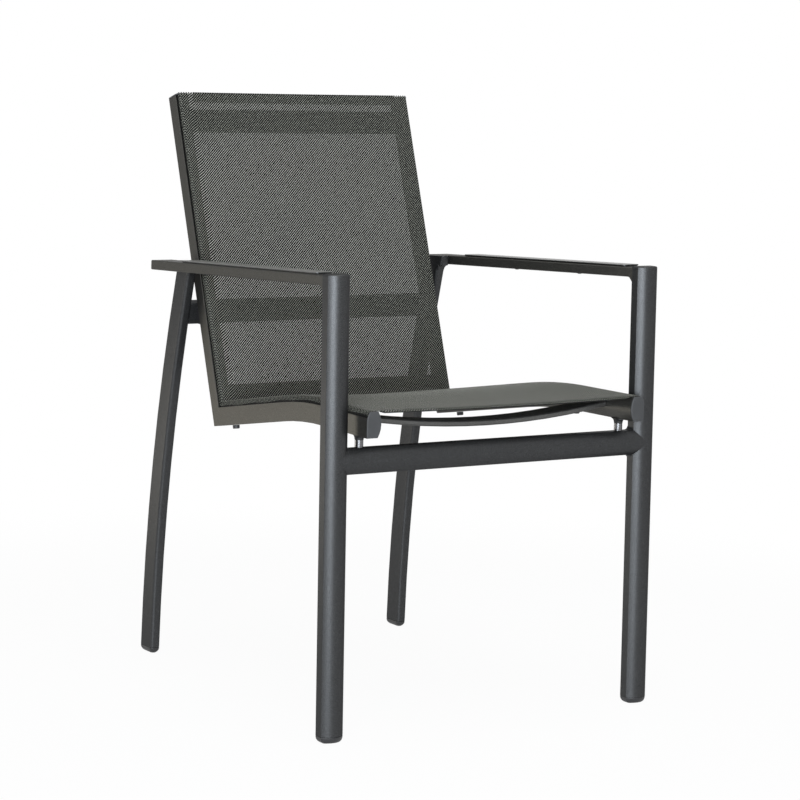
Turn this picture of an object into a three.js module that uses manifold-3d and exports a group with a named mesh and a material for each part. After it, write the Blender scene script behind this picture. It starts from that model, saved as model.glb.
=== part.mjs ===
// A stacking patio armchair: an aluminium frame with D-shaped legs, flat armrests with inlaid slats,
// and one woven sling stretched between two bent side rails for both the seat and the back.
// Sizes are in millimetres. +X is to the right seen from the front, +Y to the back, +Z up.
// The origin is on the floor, in the middle of the chair's footprint. Places below are first
// worked out from the line of the front legs (y = 0), and the whole chair is centred at the end.
import * as THREE from 'three';
import { mergeVertices } from 'three/addons/utils/BufferGeometryUtils.js';
import Module from 'manifold-3d';

// Clearances, walls and facets
const fit = 0.3; // gap between pieces that touch
const boreFit = 0.4; // gap around a bolt in its hole
const tubeWall = 2;
const overrun = 4; // how far a cutter runs past what it cuts
const weld = 0.0005; // points closer than this are one point
const plugDepth = 14; // how far a plug reaches into its tube
const plugSteps = 4;
const boltSides = 16;

// Front legs: a D-shaped tube with its round side to the front
const armHeight = 650; // top of the armrest at the front leg
const legSpread = 266.4; // middle of the chair to the middle of a front leg
const legWidth = 36;
const legFlat = 15.6; // depth of the flat sides
const legNose = 9.5; // how far the round front stands out from the flat sides
const legEdge = 1.5; // chamfer on the rear corners
const legTopY = 3.7; // middle of the leg's section at its top
const legRake = 15.5; // the foot stands this far in front of the leg's top
const legNoseSteps = 8;
const legCapThickness = 3;
const legCapRise = 2.3; // the cap's domed top stands this far over the armrest
const legCapRound = 4;

// Rear legs: a flat oval tube that bows to the rear
const rearWidth = 16.6;
const rearDepth = 37.4;
const rearRound = 5;
const rearRake = 90.2; // the foot stands this far behind the upper end of the leg's line
const rearSplay = 3.4; // the foot stands this far outside the leg's top
const rearArmGap = 0.2; // the leg's top to the armrest's inner side at its end
const rearBow = 19.5; // how far the middle of the leg stands behind its straight line
const rearLineDrop = 30; // armrest's top at the front leg to the upper end of the rear leg's line
const rearFlare = 10; // fillet where the leg's front meets the armrest
const rearTopDrop = 0.4; // the leg's top lies this far below the armrest's top
const rearSteps = 9;
const roundSteps = 3;

// Foot glides
const glideHeight = 9;
const glideRise = 8; // height of the rounding at the glide's foot
const glideRound = 6.5; // how far that rounding comes in

// Armrests: a flat bar that falls and toes in towards the rear
const armWidth = 36;
const armThickness = 14.4;
const armEdge = 1.2;
const armFillet = 9; // fillet under the bar at the front leg
const armOverhang = 14.5; // how far the bar runs past the rear leg's line
const armDrop = 24.6; // how far the bar falls from front to rear
const armToeIn = 12.2; // how far the bar comes in from front to rear

// Slats laid on the armrests, and their screws from below
const slatWidth = 30;
const slatThickness = 2.8;
const slatStep = 1; // height of the narrower lower part, which leaves a dark line
const slatUndercut = 1.6;
const slatEdge = 0.6;
const slatStart = 38;
const slatEnd = 444;
const slatRound = 5;
const slatScrewInset = 124; // slat end to screw
const screwRadius = 1.8;
const screwHeadRadius = 3.6;
const screwHeadHeight = 1.7;
const screwBite = 1.6; // how far a screw goes into the slat

// Front stretcher: the legs' D-shaped tube laid on its side
const stretcherZ = 392.5;

// Side rails: one bent extrusion each, with a slot along the outside that holds the sling
const railWidth = 23;
const railDepth = 36.8;
const railBackDepth = 27.5; // the back's part of the rail is less deep
const railFoot = 17.5; // width of the flat underside
const railCrown = 18; // width of the top where the round inner side starts
const railBulge = 5.2; // how far the inner side swells
const railBulgeSteps = 6;
const railWall = 1.8;
const lipHeight = 28; // height of the outer wall
const lipThickness = 1.8;
const slotWidth = 2.2;
const slotRoom = 5.6; // width and height of the slot's round-cord room
const slotRoomTop = 20.1;
const noseRound = 4;
const noseSteps = 3;
const railFrontY = -37.5;
const railLegGap = 9.4; // front leg to the rail's front end
const railToeIn = 26.9; // how far a rail comes in from its front to the bend
const seatLevel = 429.3; // underside of the rail at the front
const cornerY = 435; // outer corner of the bend between seat and back
const cornerZ = 379.8;
const seatSlope = 9.8; // degrees, the seat falls towards the back
const seatBlend = 700; // radius between the level front and the falling part
const backLean = 18.8; // degrees from upright
const backLength = 515;
const blendSteps = 4;
const railCapThickness = 2.2;
const railCapRound = 0.7;

// Sling and the cords in its hems
const clothThickness = 1.2;
const cordRadius = 1.8;
const cordSides = 8;
const slingTopInset = 0.5; // rail end to the sling's top edge
const edgeSag = 2;
const seatSag = 6;
const backSag = 5;
const slingShares = [0.8, 0.4, 0, -0.4, -0.8]; // places across the sling

// Standoffs between stretcher and rails
const pinRadius = 6.2;
const collarHeight = 7;
const collarRadius = 10;
const collarSteps = 4;

// Bolts
const boltRadius = 3;
const boltHeadRadius = 5.5;
const boltHeadHeight = 3.3;
const headTopShare = 0.7; // radius of a head's flat top, as a share of the head's radius
const headRimShare = 0.5; // height of a head's rim, as a share of the head's height
const boltBite = 7; // how far a bolt goes past the wall that it holds

// Bowed flat bar under the seat's front
const bowFrontY = 17;
const bowDepth = 40;
const bowThickness = 8;
const bowEndZ = 445;
const bowMiddleZ = 427.5;
const bowSteps = 12;
const bowEdge = 1.5;

// Flat bars behind the back, and the crossbar between the rear legs
const barHeight = 35;
const barDepth = 12;
const barSeat = 8.5; // back face of the rail to the back face of a bar
const barEdge = 2;
const topBarInset = 21; // rail end to the upper edge of the top bar
const lowBarRise = 60; // bend to the upper edge of the low bar
const crossHeight = 34;
const crossDepth = 18;
const crossDrop = 105.5; // armrest's top at the front leg to the middle of the crossbar
const wedgeWidth = 17;
const wedgeDepth = 11.4; // rail to crossbar, where the wedge fills the gap
const wedgeInset = 2; // the wedge stops this far short of the crossbar's edges

// Bumpers under the rails that keep stacked chairs apart
const bumperRadius = 5.3;
const bumperHeight = 5.5;
const bumperEdge = 1;
const bumperFrontY = 99;
const bumperRearY = 383;

// Finishes
const charcoal = { color: 0x4a4c4e, roughness: 0.5, metalness: 0.55 };
const slatGrey = { color: 0x5c5d5b, roughness: 0.7, metalness: 0 };
const blackPlastic = { color: 0x17181a, roughness: 0.6, metalness: 0 };
const capGrey = { color: 0x55565a, roughness: 0.6, metalness: 0 };
const steel = { color: 0xb9babc, roughness: 0.25, metalness: 1 };
const slingCloth = { color: 0x4d4d47, roughness: 0.85, metalness: 0 };
const cordBlack = { color: 0x242424, roughness: 0.7, metalness: 0 };

const wasm = await Module();
wasm.setup();
const chair = new THREE.Group();

// Geometry helpers

function degrees(angle) {
  return THREE.MathUtils.degToRad(angle);
}

function point(s, t) {
  return new THREE.Vector2(s, t);
}

// Points of an arc from a to b that bulges by rise to the right of the way from a to b.
function arcBetween(a, b, rise, steps) {
  const half = a.distanceTo(b) / 2;
  const radius = (half * half + rise * rise) / (2 * rise);
  const right = point(b.y - a.y, a.x - b.x).normalize();
  const centre = a.clone().add(b).divideScalar(2).addScaledVector(right, rise - radius);
  const turn = 2 * Math.asin(half / radius);
  return Array.from({ length: steps + 1 }, (_, i) => a.clone().rotateAround(centre, (turn * i) / steps));
}

// A rectangle around the origin with round corners, anticlockwise.
function roundedRectangle(width, height, radius, steps) {
  const corners = [[1, 1], [-1, 1], [-1, -1], [1, -1]];
  return corners.flatMap(([sx, sy], quarter) => {
    const centre = point(sx * (width / 2 - radius), sy * (height / 2 - radius));
    return Array.from({ length: steps + 1 }, (_, i) => {
      const angle = (Math.PI / 2) * (quarter + i / steps);
      return point(centre.x + radius * Math.cos(angle), centre.y + radius * Math.sin(angle));
    });
  });
}

// One section of a skinned body: flat loops, and the rule that puts their points in place.
function section(place, outline, ...holes) {
  const wound = (loop, clockwise) => (
    THREE.ShapeUtils.isClockWise(loop) === clockwise ? loop : loop.slice().reverse());
  return { place, loops: [wound(outline, false), ...holes.map((hole) => wound(hole, true))] };
}

// Turns a geometry's faces outwards if they point inwards.
function facingOut(geometry) {
  const at = geometry.getAttribute('position');
  const index = geometry.index.array;
  const [a, b, c] = [0, 1, 2].map(() => new THREE.Vector3());
  let volume = 0;
  for (let i = 0; i < index.length; i += 3) {
    a.fromBufferAttribute(at, index[i]);
    b.fromBufferAttribute(at, index[i + 1]);
    c.fromBufferAttribute(at, index[i + 2]);
    volume += a.dot(b.cross(c));
  }
  if (volume < 0) {
    for (let i = 0; i < index.length; i += 3) {
      [index[i], index[i + 1]] = [index[i + 1], index[i]];
    }
  }
  return geometry;
}

// Skins a closed body over sections that have the same number of points, and closes both ends.
function skin(sections) {
  const positions = [];
  const index = [];
  const counts = sections[0].loops.map((loop) => loop.length);
  const perSection = counts.reduce((sum, count) => sum + count, 0);
  sections.forEach(({ place, loops }) => {
    loops.flat().forEach((flat) => positions.push(...place(flat).toArray()));
  });
  for (let k = 0; k + 1 < sections.length; k += 1) {
    let first = k * perSection;
    counts.forEach((count) => {
      for (let i = 0; i < count; i += 1) {
        const a = first + i;
        const b = first + ((i + 1) % count);
        index.push(a, b, b + perSection, a, b + perSection, a + perSection);
      }
      first += count;
    });
  }
  [0, sections.length - 1].forEach((k) => {
    const [outline, ...holes] = sections[k].loops;
    const flat = sections[k].loops.flat();
    THREE.ShapeUtils.triangulateShape(outline, holes).forEach((corners) => {
      const clockwise = THREE.ShapeUtils.isClockWise(corners.map((i) => flat[i]));
      const outward = clockwise === (k === 0) ? corners : [corners[0], corners[2], corners[1]];
      index.push(...outward.map((i) => k * perSection + i));
    });
  });
  const geometry = new THREE.BufferGeometry();
  geometry.setAttribute('position', new THREE.Float32BufferAttribute(positions, 3));
  geometry.setIndex(index);
  return facingOut(geometry);
}

// A turned body on the Z axis. The profile is a list of radius and height.
function turned(profile, facets) {
  const lathe = new THREE.LatheGeometry(profile.map(([radius, height]) => point(radius, height)), facets);
  return facingOut(welded(lathe.rotateX(degrees(90))));
}

// A copy of a geometry with its positions only, and equal points merged.
function welded(geometry) {
  const bare = geometry.clone();
  bare.deleteAttribute('normal');
  bare.deleteAttribute('uv');
  return mergeVertices(bare, weld);
}

function solidOf(geometry) {
  const bare = welded(geometry);
  return new wasm.Manifold(new wasm.Mesh({
    numProp: 3,
    vertProperties: new Float32Array(bare.getAttribute('position').array),
    triVerts: new Uint32Array(bare.index.array),
  }));
}

function geometryOf(solid) {
  const { vertProperties, triVerts } = solid.getMesh();
  const geometry = new THREE.BufferGeometry();
  geometry.setAttribute('position', new THREE.BufferAttribute(vertProperties, 3));
  geometry.setIndex(new THREE.BufferAttribute(triVerts, 1));
  return geometry;
}

function cut(geometry, ...cutters) {
  return geometryOf(cutters.reduce((solid, cutter) => solid.subtract(solidOf(cutter)), solidOf(geometry)));
}

function join(...geometries) {
  return geometryOf(geometries.map(solidOf).reduce((solid, other) => solid.add(other)));
}

function add(name, geometry, finish) {
  const faceted = geometry.toNonIndexed();
  faceted.computeVertexNormals();
  const mesh = new THREE.Mesh(faceted, new THREE.MeshStandardMaterial(finish));
  mesh.name = name;
  chair.add(mesh);
}

const sides = [['left', -1], ['right', 1]];

// Places that several pieces share

const railFrontSpread = legSpread - (legWidth + railWidth) / 2 - railLegGap;
const railBackSpread = railFrontSpread - railToeIn;
const rearTopSpread = legSpread - armToeIn - (armWidth + rearWidth) / 2 - rearArmGap;
const rearFootSpread = rearTopSpread + rearSplay;
const rearHeight = armHeight - rearLineDrop;
const crossZ = armHeight - crossDrop;
const lean = degrees(backLean);

function railBackY(z) {
  return cornerY + (z - cornerZ) * Math.tan(lean);
}

// The top of the rear leg's line, set so that the wedge fills the gap between rail and crossbar.
const crossShare = crossZ / rearHeight;
const crossRearY = railBackY(crossZ) + wedgeDepth + rearDepth / 2;
const crossBow = 4 * rearBow * crossShare * (1 - crossShare);
const rearTopY = crossRearY - crossBow - rearRake * (1 - crossShare);
const rearFootY = rearTopY + rearRake;
const armEnd = rearTopY + rearDepth / 2 + armOverhang;

// A button-head bolt along Z: its head below the origin, its shank above it.
function bolt(shankLength, radius, headRadius, headHeight) {
  return turned([
    [0, -headHeight], [headRadius * headTopShare, -headHeight],
    [headRadius, -headHeight * headRimShare], [headRadius, 0],
    [radius, 0], [radius, shankLength], [0, shankLength],
  ], boltSides);
}

// A cutter for a bolt's hole along Z, from the origin up.
function bore(radius, length) {
  return turned([[0, -overrun], [radius, -overrun], [radius, length], [0, length]], boltSides);
}

// Front legs, their top caps and glides

const legBack = (legFlat + legNose) / 2;

// The D-shaped section, drawn in by inset, with its flat back at +t.
function dSection(inset) {
  const half = legWidth / 2 - inset;
  const back = legBack - inset;
  const base = legBack - legFlat;
  return [
    ...arcBetween(point(-half, base), point(half, base), legNose - inset, legNoseSteps),
    point(half, back - legEdge),
    point(half - legEdge, back),
    point(legEdge - half, back),
    point(-half, back - legEdge),
  ];
}

function legY(z) {
  return legTopY - legRake * (1 - z / armHeight);
}

function legSection(side, z, inset, ...holeInsets) {
  const place = (p) => new THREE.Vector3(side * (legSpread + p.x), legY(z) + p.y, z);
  return section(place, dSection(inset), ...holeInsets.map(dSection));
}

// A plug for a tube's end: sections by height and inset. Its face is rounded over a rise and an inset.
function plug(sectionAt, faceZ, rimZ, rise, round, way) {
  const plugInset = tubeWall + fit;
  const rounding = Array.from({ length: plugSteps + 1 }, (_, i) => {
    const angle = (Math.PI / 2) * (i / plugSteps);
    return sectionAt(faceZ + way * rise * (1 - Math.cos(angle)), round * (1 - Math.sin(angle)));
  });
  return skin([
    ...rounding,
    sectionAt(rimZ, 0),
    sectionAt(rimZ, plugInset),
    sectionAt(rimZ + way * plugDepth, plugInset),
  ]);
}

sides.forEach(([label, side]) => {
  const legTop = armHeight - legCapThickness;
  const at = (z, inset) => legSection(side, z, inset);
  add(`front_leg_${label}`, skin([
    legSection(side, glideHeight + fit, 0, tubeWall),
    legSection(side, legTop - fit, 0, tubeWall),
  ]), charcoal);
  add(`front_glide_${label}`, plug(at, 0, glideHeight, glideRise, glideRound, 1), blackPlastic);
  add(`leg_top_cap_${label}`, plug(
    at, armHeight + legCapRise, legTop, legCapRise, legCapRound, -1), charcoal);
});

// Armrest bars

const armStart = legY(armHeight) + legBack + fit;

function armShare(y) {
  return (y - armStart) / (armEnd - armStart);
}

function armTopZ(y) {
  return armHeight - armDrop * armShare(y);
}

// A section across the armrest: s outwards from its middle line, t up from its top face.
function armSection(side, y, outline) {
  const place = (p) => new THREE.Vector3(
    side * (legSpread - armToeIn * armShare(y) + p.x), y, armTopZ(y) + p.y);
  return section(place, outline);
}

function barOutline(width, top, bottom, edge) {
  const half = width / 2;
  return [
    point(-half, top - edge), point(-half, bottom + edge), point(-half + edge, bottom),
    point(half - edge, bottom), point(half, bottom + edge), point(half, top - edge),
    point(half - edge, top), point(-half + edge, top),
  ];
}

function armBar(side) {
  const filletPlaces = Array.from({ length: roundSteps + 1 }, (_, i) => {
    const angle = (Math.PI / 2) * (i / roundSteps);
    return { ahead: armFillet * (1 - Math.cos(angle)), drop: armFillet * (1 - Math.sin(angle)) };
  });
  const outer = skin([
    ...filletPlaces.map(({ ahead, drop }) => armSection(
      side, armStart + ahead, barOutline(armWidth, 0, -armThickness - drop, armEdge))),
    armSection(side, armEnd, barOutline(armWidth, 0, -armThickness, armEdge)),
  ]);
  const inside = barOutline(armWidth - 2 * tubeWall, -tubeWall, tubeWall - armThickness, armEdge);
  const room = skin([
    armSection(side, armStart - overrun, inside),
    armSection(side, armEnd - tubeWall, inside),
  ]);
  return cut(outer, room);
}

// Slats

function slatOutline(half) {
  const low = fit + slatStep;
  const high = fit + slatThickness;
  return [
    point(slatUndercut - half, fit), point(half - slatUndercut, fit), point(half - slatUndercut, low),
    point(half, low), point(half, high - slatEdge), point(half - slatEdge, high),
    point(slatEdge - half, high), point(-half, high - slatEdge), point(-half, low),
    point(slatUndercut - half, low),
  ];
}

function slatBody(side) {
  const depths = Array.from({ length: roundSteps + 2 }, (_, i) => {
    const angle = (Math.PI / 2) * (i / (roundSteps + 1));
    const half = slatWidth / 2 - slatRound * (1 - Math.sin(angle));
    return { depth: slatRound * (1 - Math.cos(angle)), half };
  });
  return skin([
    ...depths.map(({ depth, half }) => armSection(side, slatStart + depth, slatOutline(half))),
    ...depths.reverse().map(({ depth, half }) => armSection(side, slatEnd - depth, slatOutline(half))),
  ]);
}

const slatScrewPlaces = [['front', slatStart + slatScrewInset], ['rear', slatEnd - slatScrewInset]];

// Moves a body that stands on Z to a screw's place under the armrest.
function underArm(side, y, body) {
  const x = side * (legSpread - armToeIn * armShare(y));
  return body.translate(x, y, armTopZ(y) - armThickness - fit);
}

sides.forEach(([label, side]) => {
  const screwLength = armThickness + fit + screwBite;
  const bores = () => slatScrewPlaces.map(([, y]) => underArm(
    side, y, bore(screwRadius + boreFit, screwLength + fit)));
  add(`armrest_${label}`, cut(armBar(side), ...bores()), charcoal);
  add(`arm_slat_${label}`, cut(slatBody(side), ...bores()), slatGrey);
  slatScrewPlaces.forEach(([end, y]) => {
    const screw = bolt(screwLength, screwRadius, screwHeadRadius, screwHeadHeight);
    add(`slat_screw_${end}_${label}`, underArm(side, y, screw), steel);
  });
});

// Rear legs and their glides

function rearY(z) {
  const share = z / rearHeight;
  return THREE.MathUtils.lerp(rearFootY, rearTopY, share) + 4 * rearBow * share * (1 - share);
}

function rearX(z) {
  return THREE.MathUtils.lerp(rearFootSpread, rearTopSpread, z / rearHeight);
}

function rearOutline(inset) {
  const width = rearWidth - 2 * inset;
  return roundedRectangle(width, rearDepth - 2 * inset, Math.min(rearRound, width / 2 - weld), roundSteps);
}

function rearSection(side, z, inset, flare = 0) {
  const place = (p) => new THREE.Vector3(
    side * (rearX(z) + p.x), rearY(z) + p.y - (p.y < 0 ? flare : 0), z);
  return section(place, rearOutline(inset));
}

// The leg's closed top, level with the armrest beside it.
function rearTopSection(side) {
  const z = armTopZ(rearY(rearHeight));
  const place = (p) => {
    const y = rearY(z) + p.y - (p.y < 0 ? rearFlare : 0);
    return new THREE.Vector3(side * (rearX(z) + p.x), y, armTopZ(y) - rearTopDrop);
  };
  return section(place, rearOutline(0));
}

function rearLeg(side) {
  const underside = armTopZ(rearY(rearHeight)) - armThickness;
  const straightTop = underside - rearFlare;
  const heights = Array.from({ length: rearSteps }, (_, i) => THREE.MathUtils.lerp(
    glideHeight + fit, straightTop, i / (rearSteps - 1)));
  const flares = Array.from({ length: roundSteps }, (_, i) => {
    const angle = (Math.PI / 2) * ((i + 1) / roundSteps);
    const z = straightTop + rearFlare * Math.sin(angle);
    return rearSection(side, z, 0, rearFlare * (1 - Math.cos(angle)));
  });
  const outer = skin([
    ...heights.map((z) => rearSection(side, z, 0)), ...flares, rearTopSection(side),
  ]);
  const room = skin([
    rearSection(side, glideHeight - overrun, tubeWall),
    ...heights.map((z) => rearSection(side, z, tubeWall)),
  ]);
  return cut(outer, room);
}

sides.forEach(([label, side]) => {
  const at = (z, inset) => rearSection(side, z, inset);
  add(`rear_leg_${label}`, rearLeg(side), charcoal);
  add(`rear_glide_${label}`, plug(at, 0, glideHeight, glideRise, glideRound, 1), blackPlastic);
});

// The path of the rails' underside: level at the front, falling to the bend, then up the back.
// Each stop has its place, the direction across the rail towards the sitter, how much of the rail's
// depth is left there, the sling's sag and the rail's spread.

function railSpread(y) {
  const share = THREE.MathUtils.clamp((y - railFrontY) / (cornerY - railFrontY), 0, 1);
  return THREE.MathUtils.lerp(railFrontSpread, railBackSpread, share);
}

function railStop(y, z, across, sag, share = 1) {
  return { y, z, across, sag, share, spread: railSpread(y) };
}

const slope = degrees(seatSlope);
const seatNormal = point(Math.sin(slope), Math.cos(slope));
const backNormal = point(-Math.cos(lean), Math.sin(lean));
const backWay = point(Math.sin(lean), Math.cos(lean));
const depthShare = railBackDepth / railDepth;
const kneeY = cornerY - (seatLevel - cornerZ) / Math.tan(slope);
const blendReach = seatBlend * Math.tan(slope / 2);

function backStop(along, sag) {
  return railStop(cornerY + along * backWay.x, cornerZ + along * backWay.y, backNormal, sag, depthShare);
}

const seatStops = [
  railStop(railFrontY, seatLevel, point(0, 1), edgeSag),
  ...Array.from({ length: blendSteps + 1 }, (_, i) => {
    const angle = (slope * i) / blendSteps;
    const y = kneeY - blendReach + seatBlend * Math.sin(angle);
    const z = seatLevel - seatBlend * (1 - Math.cos(angle));
    return railStop(y, z, point(Math.sin(angle), Math.cos(angle)), seatSag);
  }),
];

// Where a line at one depth in the seat's part meets the line at its share of that depth in the back's.
function mitreWay(share) {
  const turn = seatNormal.dot(backNormal);
  return seatNormal.clone().multiplyScalar(1 - share * turn)
    .addScaledVector(backNormal, share - turn)
    .divideScalar(1 - turn * turn);
}

const bendStop = railStop(cornerY, cornerZ, mitreWay(depthShare), edgeSag);
const backStops = [backStop(backLength / 2, backSag), backStop(backLength, edgeSag)];
const railStops = [...seatStops, bendStop, ...backStops];

// A rule that puts (s, t) on one side's rail: s inwards from its middle, t across from its underside.
function onRail(side, stop) {
  return (p) => new THREE.Vector3(
    side * (stop.spread - p.x),
    stop.y + p.y * stop.share * stop.across.x,
    stop.z + p.y * stop.share * stop.across.y);
}

// Side rails

const railOuter = -railWidth / 2;
const slotOuter = railOuter + lipThickness;
const slotInner = slotOuter + slotWidth;
const slotRoomFloor = slotRoomTop - slotRoom;

function noseArc(radius) {
  const centre = point(slotInner + noseRound, railDepth - noseRound);
  return Array.from({ length: noseSteps + 1 }, (_, i) => {
    const angle = (Math.PI / 2) * (2 - i / noseSteps);
    return point(centre.x + radius * Math.cos(angle), centre.y + radius * Math.sin(angle));
  });
}

function innerSide(inset) {
  return arcBetween(
    point(railOuter + railFoot - inset, inset),
    point(railOuter + railCrown - inset, railDepth - inset),
    railBulge, railBulgeSteps);
}

const railOutline = [
  point(railOuter, 0),
  ...innerSide(0),
  ...noseArc(noseRound).reverse(),
  point(slotInner, slotRoomTop),
  point(slotOuter + slotRoom, slotRoomTop),
  point(slotOuter + slotRoom, slotRoomFloor),
  point(slotOuter, slotRoomFloor),
  point(slotOuter, lipHeight),
  point(railOuter, lipHeight),
];

function railRoom(inset) {
  const wall = railWall + inset;
  return [
    point(railOuter + wall, wall),
    ...innerSide(wall),
    point(slotOuter + slotRoom + wall, railDepth - wall),
    point(slotOuter + slotRoom + wall, slotRoomFloor - wall),
    point(railOuter + wall, slotRoomFloor - wall),
  ];
}

const capOutline = [
  point(railOuter, 0),
  ...innerSide(0),
  point(slotInner, railDepth),
  point(railOuter, lipHeight),
];

// A cap over a rail's end, with a plug in the rail's inner room. Way points out of the rail.
function railCap(side, stop, way) {
  const layer = (outline, distance) => {
    const step = way.clone().multiplyScalar(distance);
    const moved = railStop(stop.y + step.x, stop.z + step.y, stop.across, stop.sag, stop.share);
    return section(onRail(side, moved), outline);
  };
  const middle = point(0, railDepth / 2);
  const shrunk = capOutline.map((p) => {
    const arm = p.clone().sub(middle);
    return middle.clone().addScaledVector(arm, 1 - railCapRound / arm.length());
  });
  const face = fit + railCapThickness;
  const plate = skin([layer(capOutline, fit), layer(capOutline, face - railCapRound), layer(shrunk, face)]);
  const stem = skin([layer(railRoom(fit), -plugDepth), layer(railRoom(fit), fit + railCapThickness / 2)]);
  return join(plate, stem);
}

// Standoffs: a stud goes from inside the stretcher up through pin and collar into the rail

const pinY = legY(stretcherZ) + legBack - legFlat / 2;
const stretcherTop = stretcherZ + legWidth / 2;
const collarBottom = seatLevel - fit - collarHeight;
const studBottom = stretcherTop - tubeWall - boltBite;
const studLength = seatLevel + railWall + boltBite - studBottom;

function atPin(side, z, body) {
  return body.translate(side * railSpread(pinY), pinY, z);
}

const pinBore = (side) => atPin(side, studBottom, bore(boltRadius + boreFit, studLength + fit));

function stretcher() {
  const reach = legSpread - legWidth / 2 - fit;
  const at = (x) => section(
    (p) => new THREE.Vector3(x, legY(stretcherZ) + p.y, stretcherZ + p.x), dSection(0), dSection(tubeWall));
  return cut(skin([at(-reach), at(reach)]), ...sides.map(([, side]) => pinBore(side)));
}

function ring(innerRadius, profile) {
  const [[, bottom]] = profile;
  const [, top] = profile[profile.length - 1];
  return turned([...profile, [innerRadius, top], [innerRadius, bottom], profile[0]], boltSides);
}

// A flared collar: a short straight neck, then a quarter round that widens to the rail.
function collarProfile() {
  const flare = collarRadius - pinRadius;
  const quarter = Array.from({ length: collarSteps + 1 }, (_, i) => {
    const angle = (Math.PI / 2) * (i / collarSteps);
    return [collarRadius - flare * Math.cos(angle), collarHeight - flare + flare * Math.sin(angle)];
  });
  return [[pinRadius, 0], ...quarter];
}

add('front_stretcher', stretcher(), charcoal);

sides.forEach(([label, side]) => {
  const innerRadius = boltRadius + boreFit;
  const pinHeight = collarBottom - fit - (stretcherTop + fit);
  const pin = ring(innerRadius, [[pinRadius, 0], [pinRadius, pinHeight]]);
  add(`spacer_pin_${label}`, atPin(side, stretcherTop + fit, pin), steel);
  add(`spacer_collar_${label}`, atPin(side, collarBottom, ring(innerRadius, collarProfile())), charcoal);
  const stud = turned([[0, 0], [boltRadius, 0], [boltRadius, studLength], [0, studLength]], boltSides);
  add(`seat_stud_${label}`, atPin(side, studBottom, stud), steel);
});

// Rear crossbar, the wedges between it and the rails, and the bolts through both

const crossLean = rearY(crossZ - crossHeight / 2) - rearY(crossZ + crossHeight / 2);
const crossTilt = Math.atan2(crossLean, crossHeight);
const crossWay = point(-Math.sin(crossTilt), Math.cos(crossTilt)); // up the crossbar's face, in Y and Z
const crossOut = point(Math.cos(crossTilt), Math.sin(crossTilt)); // out of its rear face
const crossFront = point(rearY(crossZ) - rearDepth / 2, crossZ);

// A straight bar across the chair. Way runs up its face, out is square to it, both in Y and Z.
function crossBar(centre, way, out, height, depth, reach) {
  const place = (x) => (p) => new THREE.Vector3(
    x, centre.x + p.x * out.x + p.y * way.x, centre.y + p.x * out.y + p.y * way.y);
  const outline = barOutline(depth, height / 2, -height / 2, barEdge);
  const room = barOutline(depth - 2 * tubeWall, height / 2 - tubeWall, tubeWall - height / 2, barEdge);
  return skin([section(place(-reach), outline, room), section(place(reach), outline, room)]);
}

const crossReach = rearX(crossZ + crossHeight / 2) - rearWidth / 2 - fit;
const crossFrontY = (z) => crossFront.x - (z - crossZ) * Math.tan(crossTilt);
const backBoltLength = crossDepth + (crossFront.x - railBackY(crossZ)) + boltBite;

// Turns a body that stands on Z so that it points into the crossbar's rear face, at a rail.
function atBackBolt(side, body) {
  const head = crossFront.clone().addScaledVector(crossOut, crossDepth + fit);
  body.rotateX(Math.PI / 2 + crossTilt);
  return body.translate(side * railBackSpread, head.x, head.y);
}

const backBore = (side) => atBackBolt(side, bore(boltRadius + boreFit, backBoltLength + 2 * fit));

function wedge(side) {
  const top = crossZ + crossHeight / 2 - wedgeInset;
  const bottom = crossZ - crossHeight / 2 + wedgeInset;
  const railGap = fit / Math.cos(lean);
  const barGap = fit / Math.cos(crossTilt);
  const outline = [
    point(railBackY(bottom) + railGap, bottom), point(crossFrontY(bottom) - barGap, bottom),
    point(crossFrontY(top) - barGap, top), point(railBackY(top) + railGap, top),
  ];
  const at = (x) => section((p) => new THREE.Vector3(side * x, p.x, p.y), outline);
  return skin([at(railBackSpread - wedgeWidth / 2), at(railBackSpread + wedgeWidth / 2)]);
}

const crossCentre = crossFront.clone().addScaledVector(crossOut, crossDepth / 2);
add('rear_crossbar', cut(
  crossBar(crossCentre, crossWay, crossOut, crossHeight, crossDepth, crossReach),
  ...sides.map(([, side]) => backBore(side))), charcoal);

sides.forEach(([label, side]) => {
  const rail = skin(railStops.map((stop) => section(onRail(side, stop), railOutline, railRoom(0))));
  add(`side_rail_${label}`, cut(rail, pinBore(side), backBore(side)), charcoal);
  add(`rail_front_cap_${label}`, railCap(side, railStops[0], point(-1, 0)), capGrey);
  add(`rail_top_cap_${label}`, railCap(side, railStops[railStops.length - 1], backWay), capGrey);
  add(`back_wedge_${label}`, cut(wedge(side), backBore(side)), blackPlastic);
  const backBolt = bolt(backBoltLength, boltRadius, boltHeadRadius, boltHeadHeight);
  add(`back_bolt_${label}`, atBackBolt(side, backBolt), steel);
});

// Bars between the rails' backs

const barReach = railBackSpread - railWidth / 2 - fit;

function backBar(upperEdge) {
  const stop = backStop(upperEdge - barHeight / 2, 0);
  const centre = point(stop.y, stop.z).addScaledVector(backNormal, barSeat + barDepth / 2);
  return crossBar(centre, backWay, backNormal, barHeight, barDepth, barReach);
}

add('top_back_bar', backBar(backLength - topBarInset), charcoal);
add('low_back_bar', backBar(lowBarRise), charcoal);

// Bowed bar under the seat's front

function bowedBar() {
  const outline = barOutline(bowDepth, bowThickness, 0, bowEdge);
  return skin(Array.from({ length: bowSteps + 1 }, (_, i) => {
    const share = (2 * i) / bowSteps - 1;
    const rise = (bowEndZ - bowMiddleZ) * share * share;
    return section((p) => {
      const y = bowFrontY + bowDepth / 2 + p.x;
      const reach = railSpread(y) - railWidth / 2 - fit;
      return new THREE.Vector3(share * reach, y, bowMiddleZ + rise + p.y);
    }, outline);
  }));
}

add('bowed_seat_bar', bowedBar(), charcoal);

// Sling: from the slot of one rail, over its nose and across to the other

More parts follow.
